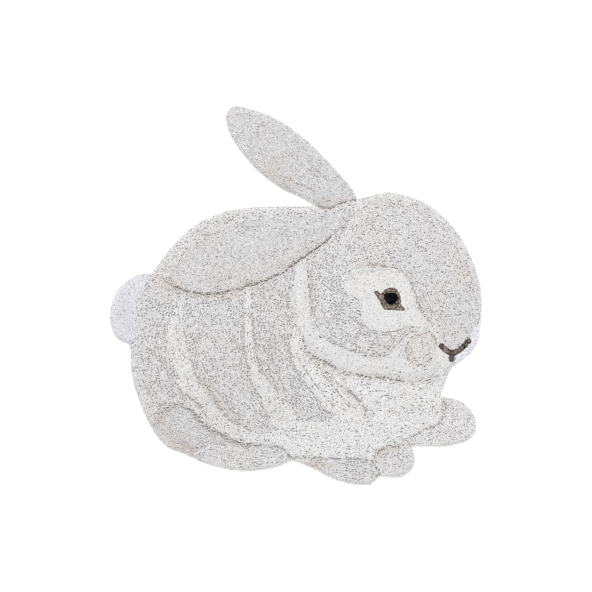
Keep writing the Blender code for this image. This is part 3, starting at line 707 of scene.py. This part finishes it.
def distance_to_edges(numbers, reach):
    """How far each cell lies from the nearest edge between two numbers, in metres, up to a reach in cells."""
    edge = np.zeros(numbers.shape, bool)
    edge[1:] |= numbers[1:] != numbers[:-1]
    edge[:, 1:] |= numbers[:, 1:] != numbers[:, :-1]
    run = np.where(edge, 0.0, float(reach))
    for row in range(1, len(run)):
        run[row] = np.minimum(run[row], run[row - 1] + 1)
    for row in range(len(run) - 2, -1, -1):
        run[row] = np.minimum(run[row], run[row + 1] + 1)
    square = run ** 2
    nearest = square.copy()
    for step in range(1, reach):
        np.minimum(nearest[:, :-step], square[:, step:] + step ** 2, out=nearest[:, :-step])
        np.minimum(nearest[:, step:], square[:, :-step] + step ** 2, out=nearest[:, step:])
    return np.minimum(np.sqrt(nearest), reach) * CELL


def fine_cells(places):
    """The row and column of each place on a grid twice as fine, with a border."""
    cells = np.rint((places - (Grid.x[0], Grid.y[0])) / FINE_CELL).astype(int) + FINE_BORDER
    return cells[:, 1], cells[:, 0]


def fine_grid(value):
    return np.full((2 * (len(Grid.y) + FINE_BORDER), 2 * (len(Grid.x) + FINE_BORDER)), value)


def planted(places, gaps):
    """Which places take a tuft: each in turn, if no tuft stands nearer than its gap."""
    taken = fine_grid(False)
    discs = {}
    for gap in np.unique(gaps).tolist():
        reach = math.ceil(gap / FINE_CELL)
        rows, columns = np.mgrid[-reach:reach + 1, -reach:reach + 1]
        discs[gap] = (reach, np.hypot(rows, columns) * FINE_CELL < gap)
    rows, columns = fine_cells(places)
    kept = []
    for index, (row, column, gap) in enumerate(zip(rows.tolist(), columns.tolist(), gaps.tolist())):
        if not taken[row, column]:
            reach, disc = discs[gap]
            taken[row - reach:row + reach + 1, column - reach:column + reach + 1] |= disc
            kept.append(index)
    return np.array(kept)


def evened_out(places, pitches, heading, held, rounds):
    """The places moved apart from their near neighbours. Tufts that are held move along their row only."""
    limits = EVEN_GAP * pitches
    reach = math.ceil(limits.max() / FINE_CELL)
    row_way = np.column_stack([np.cos(heading), np.sin(heading)])
    for _ in range(rounds):
        standing = fine_grid(-1)
        rows, columns = fine_cells(places)
        standing[rows, columns] = np.arange(len(places))
        push = np.zeros(places.shape)
        for down in range(-reach, reach + 1):
            for right in range(-reach, reach + 1):
                if 0 < math.hypot(down, right) <= reach:
                    other = standing[rows + down, columns + right]
                    found = np.flatnonzero(other >= 0)
                    away = places[found] - places[other[found]]
                    gap = np.maximum(np.linalg.norm(away, axis=1), 1e-5)
                    push[found] += away / gap[:, None] * np.clip(limits[found] - gap, 0, None)[:, None]
        along_row = (push * row_way).sum(axis=1)[:, None] * row_way
        push = np.where(held[:, None], along_row, push)
        places = places + EVENING_STEP * push
    return places


def cut_values(numbers, key):
    """A value of the cut of the field with each number."""
    column = CUT_COLUMNS.index(key)
    return np.array([0.0, *(CUTS[cut][column] for _, cut, _, _ in FIELDS.values())])[numbers]


def rows_of_tufts(numbers, chance):
    """Where the tufts stand: rows that follow the edges of each field, then fill between them."""
    edges = distance_to_edges(numbers, EDGE_REACH)
    slope_y, slope_x = np.gradient(edges, CELL)
    rows, columns = np.nonzero(numbers)
    pitches = cut_values(numbers[rows, columns], "pitch")
    order = chance.permutation(len(rows))
    rows, columns, pitches = rows[order], columns[order], pitches[order]
    places = np.column_stack([Grid.x[columns], Grid.y[rows]])
    places += chance.uniform(-0.5, 0.5, places.shape) * CELL
    slope = np.column_stack([slope_x[rows, columns], slope_y[rows, columns]])
    steepness = np.linalg.norm(slope, axis=1)
    along = edges[rows, columns]
    row_at = (np.floor(along / pitches) + 0.5) * pitches
    clear = steepness > ROW_SLOPE
    slope[clear] /= steepness[clear, None]
    moved = places + slope * (row_at - along)[:, None]
    at = Grid.cells(moved)
    in_row = clear & (np.abs(edges[at] - row_at) < ROW_SLACK * pitches)
    in_row &= numbers[at] == numbers[rows, columns]
    places = np.vstack([moved[in_row], places])
    pitches = np.concatenate([pitches[in_row], pitches])
    in_strip = np.concatenate([np.zeros(in_row.sum(), bool), along < ROW_STRIP * pitches[in_row.sum():]])
    places, pitches = places[~in_strip], pitches[~in_strip]
    kept = planted(places, np.round(SET_GAP * pitches, 6))
    places, pitches = places[kept], pitches[kept]
    at = Grid.cells(places)
    heading = np.arctan2(slope_x[at], -slope_y[at])
    own = numbers[at]
    moved = evened_out(places, pitches, heading, edges[at] < pitches, EVENING_ROUNDS)
    left = numbers[Grid.cells(moved)] != own
    moved[left] = places[left]
    at = Grid.cells(moved)
    return moved, own, edges[at], heading


def lumps(places, kind):
    """Soft noise over the rug, from about minus its strength to its strength."""
    size, layer, strength = LUMPS[kind]
    return strength * np.array([noise.noise(Vector((x / size, y / size, layer))) for x, y in places])


def within(places, x, y, reach_x, reach_y, turn):
    """How far each place lies within a soft oval patch: 1 in its middle, and falling off towards 0."""
    offset = (places - on_the_rug(x, y)) / SQUARE
    turn = math.radians(turn)
    along = offset @ (math.cos(turn), math.sin(turn)) / reach_x
    across = offset @ (-math.sin(turn), math.cos(turn)) / reach_y
    return np.exp(-along ** 2 - across ** 2)


def creased(places):
    """How deep a crease is at each place, the painted warm shade beside it, and the direction of a near one.
    """
    depth, warmth = np.zeros(len(places)), np.zeros(len(places))
    direction = np.zeros(places.shape)
    nearest = np.full(len(places), CREASE_REACH * SQUARE)
    for width, warm, points in CREASES.values():
        line, stops, depths = numbered_line(points)
        width *= SQUARE
        low, high = line.min(axis=0) - CREASE_REACH * SQUARE, line.max(axis=0) + CREASE_REACH * SQUARE
        near = np.flatnonzero(((places > low) & (places < high)).all(axis=1))
        gap, where = distance_along(places[near], line)
        strength = np.interp(where, stops, depths)
        broken = CREASE_KEEPS + lumps(places[near], "broken creases") + lumps(places[near], "fine breaks")
        depth[near] = np.maximum(depth[near], strength * np.exp(-(gap / width) ** 2) * broken)
        # Painted warm shade: the yarn beside the crease is coloured warmer
        beside = warm * strength * np.exp(-(gap / (CREASE_WARM_SHADE_REACH * width)) ** 2) * (0.5 + 0.7 * broken)
        warmth[near] = np.maximum(warmth[near], beside)
        run = line[1:] - line[:-1]
        run /= np.linalg.norm(run, axis=1)[:, None]
        closer = gap < nearest[near]
        nearest[near[closer]] = gap[closer]
        direction[near[closer]] = run[np.minimum((where[closer] * len(run)).astype(int), len(run) - 1)]
    return np.clip(depth, 0, DEEPEST), warmth, direction


class Pile:
    """Every tuft of the rug: where it stands, how high it is cut, how it leans, and its tone."""

    def __init__(self):
        self.chance = np.random.default_rng(27)
        heights = cut_heights()
        rims = distance_to_edges((heights > 0).astype(int), RIM_REACH)
        self.set_in_rows(laid_out_fields(heights > 0), rims)
        self.count = len(self.places)
        self.at = Grid.cells(self.places)
        self.rim = rims[self.at]
        self.let_stray()
        self.depth, self.crease_warmth, _ = creased(self.places)
        self.cut_to_height(heights)
        self.lean_and_turn(rims)
        self.colour_with_painted_shade()

    def cut(self, key):
        return cut_values(self.numbers, key)

    def set_in_rows(self, numbers, rims):
        """Sets the tufts in rows, leaves out those where the pile has parted, and evens out the rest."""
        self.places, self.numbers, self.edges, self.heading = rows_of_tufts(numbers, self.chance)
        rim = rims[Grid.cells(self.places)]
        depth, _, direction = creased(self.places)
        standing = ~self.parted(rim, depth, direction)
        self.places, self.numbers = self.places[standing], self.numbers[standing]
        self.edges, self.heading = self.edges[standing], self.heading[standing]
        self.pitch = self.cut("pitch")
        self.in_first_row = self.edges < self.pitch
        crisp = (rim[standing] < RIM_ROW) | (self.cut("edge") > 0)
        held = self.in_first_row & crisp | (depth[standing] > HELD_DEPTH)
        self.places = evened_out(self.places, self.pitch, self.heading, held, CLOSING_ROUNDS)

    def parted(self, rim, depth, direction):
        """Where the pile has parted: single places well apart, short runs along a row, and the creases."""
        chance, count = self.chance, len(self.places)
        order = chance.permutation(count)
        order = order[planted(self.places[order], np.full(count, HOLE_DISTANCE))]
        holes = np.zeros(count, bool)
        holes[order] = True
        share = self.cut("holes") * np.clip((rim - HOLES_BEGIN) / HOLES_RAMP, 0, 1)
        for *patch, closed in COMBED:
            share *= 1 - closed * within(self.places, *patch)
        holes &= chance.random(count) < share
        tree = KDTree(count)
        for index, (x, y) in enumerate(self.places):
            tree.insert((x, y, 0.0), index)
        tree.balance()
        by_crease = direction.any(axis=1)
        row_way = np.column_stack([np.cos(self.heading), np.sin(self.heading)])
        row_way = np.where(by_crease[:, None], direction, row_way)
        runs = holes & (chance.random(count) < np.where(by_crease, 2 * RUN_SHARE, RUN_SHARE))
        for x, y in (self.places + row_way * self.cut("pitch")[:, None])[runs]:
            holes[tree.find((x, y, 0.0))[1]] = True
        return holes | ((rim > CREASE_RIM) & (chance.random(count) < CREASE_SHARE * depth))

    def let_stray(self):
        """Moves the tufts a little off their rows."""
        stray = self.cut("stray") * self.pitch
        stray *= np.where(self.in_first_row, EDGE_STRAY, 1.0)
        stray *= np.where(self.rim < RIM_ROW, RIM_STRAY, 1.0)
        self.places += self.chance.normal(size=(self.count, 2)) * stray[:, None]
        self.places = self.places.clip((Grid.x[0], Grid.y[0]), (Grid.x[-1], Grid.y[-1]))

    def cut_to_height(self, heights):
        """Cuts each tuft to the carved top that it stands under, with the grooves open here and there."""
        tops = heights[Grid.cells(self.places)]
        tops = np.where(tops > 0, tops, heights[self.at])
        closed = np.where(self.rim > GROOVE_RIM, widest(heights, GROOVE_REACH)[self.at], tops)
        open_share = GROOVE_OPEN + lumps(self.places, "open grooves") + GROOVE_CREASED * self.depth
        drop = CREASE_DROP * self.depth * self.chance.uniform(0.0, 1.6, self.count)
        self.top = closed + (tops - closed) * np.clip(open_share, 0, 1) - drop
        self.top += self.chance.normal(size=self.count) * self.cut("uneven")
        self.top = np.maximum(self.top, TUFT_ROOT + LEAST_TUFT)

    def lean_and_turn(self, rims):
        """Leans the tips a little, outwards at the rim, and turns each tuft a little off its row."""
        out_y, out_x = np.gradient(-rims, CELL)
        outward = np.column_stack([out_x[self.at], out_y[self.at]])
        self.lean = self.chance.normal(size=(self.count, 2)) * TIP_LEAN * self.pitch[:, None]
        self.lean += outward * (RIM_LEAN * np.clip(1 - self.rim / RIM_LEAN_REACH, 0, 1))[:, None]
        self.heading += self.chance.normal(size=self.count) * np.where(self.rim < RIM_ROW, RIM_TURN, TURN)

    def colour_with_painted_shade(self):
        """Colours each tuft: its yarn's tone and warmth, and painted light and shade by creases, patches and
        rim.
        """
        scatter = TONE_VARIES * self.chance.normal(size=self.count) + lumps(self.places, "tones")
        tone = 1 + self.cut("tones") * scatter
        tone *= 1 - self.cut("edge") * np.clip(1 - self.edges / DARK_EDGE, 0, 1)
        cloud = lumps(self.places, "clouds") + lumps(self.places, "small clouds")
        shade_and_tint_warmth, shade_and_tint_tone = self.warm_shade_and_tint()
        self.tone = self.field_tone() * tone * (1 + cloud) * shade_and_tint_tone
        # Painted shade: tufts in a crease are coloured darker with its depth
        self.tone *= 1 - CREASE_SHADE * np.minimum(self.depth, DEEPEST_SHADED)
        # Painted light on the rim's shoulder and painted shade at its very edge
        painted_rim_light_and_shade = (more * np.exp(-((self.rim - inside) / reach) ** 2) for more, inside, reach in RIM_LIGHT_AND_SHADE)
        self.tone *= sum(painted_rim_light_and_shade, 1.0)
        warmth = COMMON_WARMTH + lumps(self.places, "warmth") + lumps(self.places, "small warmth")
        # The warmth adds the painted warm shade of creases and patches to the yarn's own
        self.warmth = np.clip(warmth + self.crease_warmth + shade_and_tint_warmth, 0, 1)

    def warm_shade_and_tint(self):
        """The warmth and tone that the patches of painted warm shade and yarn tint give each tuft."""
        warmth, tone = np.zeros(self.count), np.ones(self.count)
        for *patch, warm, light in PATCHES_OF_WARM_SHADE_AND_TINT:
            share = within(self.places, *patch)
            warmth += warm * share
            tone *= 1 + (light - 1) * share
        return warmth * (SHADE_AND_TINT_STRENGTH + lumps(self.places, "shade and tint")), tone

    def field_tone(self):
        return np.array([1.0, *(tone for _, _, tone, _ in FIELDS.values())])[self.numbers]


# The rings of a tuft, from its root up: how many domes it lies under the tip, the share of the tuft's width,
# and how far from its middle it lies on the unwrapped tuft. The first ring stands on the backing, in the pile
# bed. Each tuft is unwrapped into a disc in its own cell of the map.
SIDES = 5
TUFT_RINGS = ((math.inf, 0.78, 1.0), (1.0, 1.0, 0.68), (0.35, 0.62, 0.38))
DISC = 0.48


def tuft_faces():
    """The faces of one tuft: the bands between its rings, and the tip."""
    faces = []
    for ring in range(len(TUFT_RINGS) - 1):
        for side in range(SIDES):
            after = (side + 1) % SIDES
            low, high = ring * SIDES, (ring + 1) * SIDES
            faces.append((low + side, low + after, high + after, high + side))
    last, tip = (len(TUFT_RINGS) - 1) * SIDES, len(TUFT_RINGS) * SIDES
    return faces + [(last + side, last + (side + 1) % SIDES, tip) for side in range(SIDES)]


def tuft_spots(pile, which):
    """The corners of each of a field's tufts, and how far up to its tip each of them lies, from 0 to 1."""
    count, rings, chance = len(which), len(TUFT_RINGS), pile.chance
    angle = np.arange(SIDES) * math.tau / SIDES + chance.uniform(0, math.tau, (count, 1, 1))
    swell = 1 + chance.normal(size=(count, rings, SIDES)) * SIDE_VARIES
    half_width = (pile.cut("width") * pile.pitch)[which] * (1 + chance.normal(size=count) * WIDTH_VARIES)
    half_length = (pile.cut("length") * pile.pitch)[which] * (1 + chance.normal(size=count) * LENGTH_VARIES)
    half_length *= np.where(pile.rim[which] < OUTERMOST, OUTERMOST_LENGTH, 1.0)
    under, wide, _ = np.array(TUFT_RINGS).T
    reach = wide[None, :, None] * swell
    along = np.cos(angle) * reach * half_length[:, None, None]
    across = np.sin(angle) * reach * half_width[:, None, None]
    turn = pile.heading[which][:, None, None]
    rise = pile.top[which] - TUFT_ROOT
    up = np.clip(1 - under[None, :] * pile.cut("dome")[which][:, None] / rise[:, None], 0, 1)
    lean = pile.lean[which][:, None, None, :] * up[:, :, None, None]
    ring_x = along * np.cos(turn) - across * np.sin(turn) + lean[..., 0]
    ring_y = along * np.sin(turn) + across * np.cos(turn) + lean[..., 1]
    ring_z = TUFT_ROOT + (rise[:, None] * up)[:, :, None] * np.ones(SIDES)
    spots = np.empty((count, rings * SIDES + 1, 3))
    for axis, ring in enumerate((ring_x, ring_y, ring_z)):
        spots[:, :-1, axis] = ring.reshape(count, -1)
    spots[:, -1, :2] = pile.lean[which]
    spots[:, -1, 2] = pile.top[which]
    spots[:, :, :2] += pile.places[which][:, None, :]
    return spots, np.column_stack([np.repeat(up, SIDES, axis=1), np.ones(count)])


def unwrap_tufts(mesh, faces, count):
    """Lays each tuft out in its own cell of the map, as it is seen from above."""
    cells_across = math.ceil(math.sqrt(count))
    cell = np.column_stack([np.arange(count) % cells_across, np.arange(count) // cells_across]) / cells_across
    spokes = np.arange(SIDES) * math.tau / SIDES
    disc = np.column_stack([np.cos(spokes), np.sin(spokes)])
    spots = np.vstack([*(0.5 + DISC * share * disc for _, _, share in TUFT_RINGS), (0.5, 0.5)])
    corners = [(cell[:, None, :] + spots[list(face)] / cells_across).reshape(-1, 2) for face in faces]
    layer = mesh.uv_layers.new(name="OFBake")
    layer.data.foreach_set("uv", np.vstack(corners).ravel())


def tuft_mesh(name, pile, which):
    """The tufts of one field as one mesh."""
    spots, up = tuft_spots(pile, which)
    count, tuft_size, _ = spots.shape
    faces = tuft_faces()
    first_corners = np.arange(count)[:, None] * tuft_size
    mesh = bpy.data.meshes.new(name)
    by_shape = [(first_corners + np.array(face)).tolist() for face in faces]
    mesh.from_pydata(spots.reshape(-1, 3).tolist(), [], [face for shape in by_shape for face in shape])
    mesh.shade_smooth()
    values = {"tip": up, "tone": pile.tone[which, None], "warmth": pile.warmth[which, None]}
    for label, value in values.items():
        on_corners = np.broadcast_to(value, (count, tuft_size)).ravel()
        mesh.attributes.new(label, "FLOAT", "POINT").data.foreach_set("value", on_corners)
    unwrap_tufts(mesh, faces, count)
    return mesh


def link(name, mesh, material):
    """A new piece of the rug that moves with its root body."""
    mesh.materials.append(material)
    piece = bpy.data.objects.new(name, mesh)
    bpy.context.scene.collection.objects.link(piece)
    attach(piece, "root")
    return piece


def rug_shape():
    """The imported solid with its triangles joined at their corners."""
    shape = bmesh.new()
    shape.from_mesh(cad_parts["rabbit_rug"].data)
    bmesh.ops.remove_doubles(shape, verts=shape.verts[:], dist=1e-5)
    shape.normal_update()
    return shape


def pile_bed():
    """The lower half of the pile as one solid bed, which closes the gaps between the tufts."""
    shape = rug_shape()
    moves = [Vector((corner.normal.x, corner.normal.y)) * BED_INSET for corner in shape.verts]
    for corner, inset in zip(shape.verts, moves):
        height = max(corner.co.z * BED_SHARE, BACKING_THICKNESS + BED_ON_BACKING)
        corner.co = (corner.co.x - inset.x, corner.co.y - inset.y, height)
    mesh = bpy.data.meshes.new("pile_bed")
    shape.to_mesh(mesh)
    shape.free()
    return link("pile_bed", mesh, shaded_pile_roots())


def backing_cloth():
    """The woven cloth that holds the tufts, cut to the outline a little inside the pile."""
    shape = rug_shape()
    flat = [face for face in shape.faces if face.calc_center_median().z < 1e-5]
    area = sum(face.calc_area() for face in flat)
    underside = set(flat)
    following = {}
    for face in flat:
        for corner in face.loops:
            if corner.link_loop_radial_next.face not in underside:
                following[corner.vert] = corner.link_loop_next.vert
    outline = [next(iter(following))]
    while len(outline) < len(following):
        outline.append(following[outline[-1]])
    count = len(outline)
    corners = [(*vert.co.xy, height) for height in (0.0, BACKING_THICKNESS) for vert in outline]
    shape.free()
    sides = [(i, i + count, (i + 1) % count + count, (i + 1) % count) for i in range(count)]
    cloth = bpy.data.meshes.new("backing_cloth")
    cloth.from_pydata(corners, [], [tuple(range(count)), tuple(range(2 * count - 1, count - 1, -1)), *sides])
    return link("backing_cloth", cloth, backing_canvas()), area


def photo_camera():
    """A camera straight above the rug, at the photograph's scale on the tips of the pile."""
    lens = bpy.data.cameras.new("camera")
    lens.sensor_width = SENSOR
    lens.lens = SENSOR * (CAMERA_HEIGHT - RUG_HIGH.z) / (PICTURE_SQUARES * SQUARE)
    camera = bpy.data.objects.new("camera", lens)
    camera.location = (*on_the_rug(PICTURE_X, PICTURE_Y), CAMERA_HEIGHT)
    bpy.context.scene.collection.objects.link(camera)
    bpy.context.scene.camera = camera


def studio():
    """A white floor, even light all round, and a broad soft light from beyond the raised ear."""
    finish = Finish("studio_floor", base_color=(0.93, 0.93, 0.93, 1.0), roughness=0.9, emission_strength=0.25)
    middle = (0.0, 0.0, FLOOR_HEIGHT)
    bpy.ops.mesh.primitive_circle_add(vertices=64, radius=FLOOR_RADIUS, fill_type="NGON", location=middle)
    floor = bpy.context.object
    floor.name = "studio_floor"
    floor.data.materials.append(finish.material)

    world = bpy.data.worlds.new("studio")
    world.use_nodes = True
    world.node_tree.nodes["Background"].inputs["Color"].default_value = (1.0, 1.0, 1.0, 1.0)
    world.node_tree.nodes["Background"].inputs["Strength"].default_value = 1.0
    bpy.context.scene.world = world

    lamp = bpy.data.lights.new("window_light", "AREA")
    lamp.shape = "RECTANGLE"
    lamp.size, lamp.size_y = WINDOW_LENGTH, WINDOW_WIDTH
    lamp.energy = WINDOW_POWER
    light = bpy.data.objects.new("window_light", lamp)
    light.location = WINDOW_PLACE
    light.rotation_euler = (-WINDOW_PLACE).to_track_quat("-Z", "Y").to_euler()
    bpy.context.scene.collection.objects.link(light)
    bpy.context.scene.view_settings.view_transform = "Standard"


def main():
    photo_camera()
    studio()
    pile = Pile()
    finishes = {yarn: cotton_pile(yarn) for yarn in YARNS}
    for number, (name, (yarn, _, _, _)) in enumerate(FIELDS.items(), 1):
        which = np.flatnonzero(pile.numbers == number)
        label = name.replace(" ", "_") + "_pile"
        link(label, tuft_mesh(label, pile, which), finishes[yarn])
    bed = pile_bed()
    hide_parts("rabbit_rug")
    cloth, area = backing_cloth()


main()
